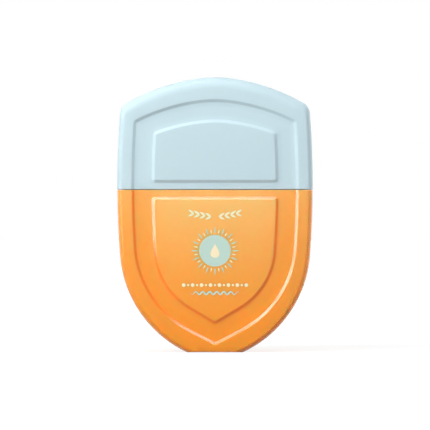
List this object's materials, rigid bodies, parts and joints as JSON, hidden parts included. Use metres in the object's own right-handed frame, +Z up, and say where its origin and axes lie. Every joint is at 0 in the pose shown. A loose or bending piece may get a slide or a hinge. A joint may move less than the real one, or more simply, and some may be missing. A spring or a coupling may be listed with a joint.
{
  "type": "sunscreen bottle",
  "caption": "Flat shield-shaped lotion bottle standing on a small flat foot, with a raised border and panels, a nozzle in its neck and a tall cap that pulls straight off",
  "frame": {"origin": "the middle of the flat foot, at the level that the bottle stands on", "axes": "+Z up through the neck, +X to the right seen from the front, -Y out of the front face"},
  "size_m": [0.0642, 0.022, 0.09],
  "materials": {
    "body_orange": "glossy orange plastic, paler towards the shoulder",
    "plug_white": "soft waxy white polyethylene",
    "collar_white": "satin white polypropylene",
    "cap_blue": "glossy pale blue plastic",
    "inner_cap_white": "satin natural polypropylene"
  },
  "bodies": {
    "bottle": {"bottle_body": "body_orange", "nozzle_plug": "plug_white", "snap_collar": "collar_white"},
    "cap": {"cap_shell": "cap_blue", "inner_cap": "inner_cap_white"}
  },
  "joints": [
    {"name": "cap_pull_off", "type": "slide", "parent": "bottle", "child": "cap", "axis": [0, 0, 1], "range_m": [0, 0.03]}
  ]
}
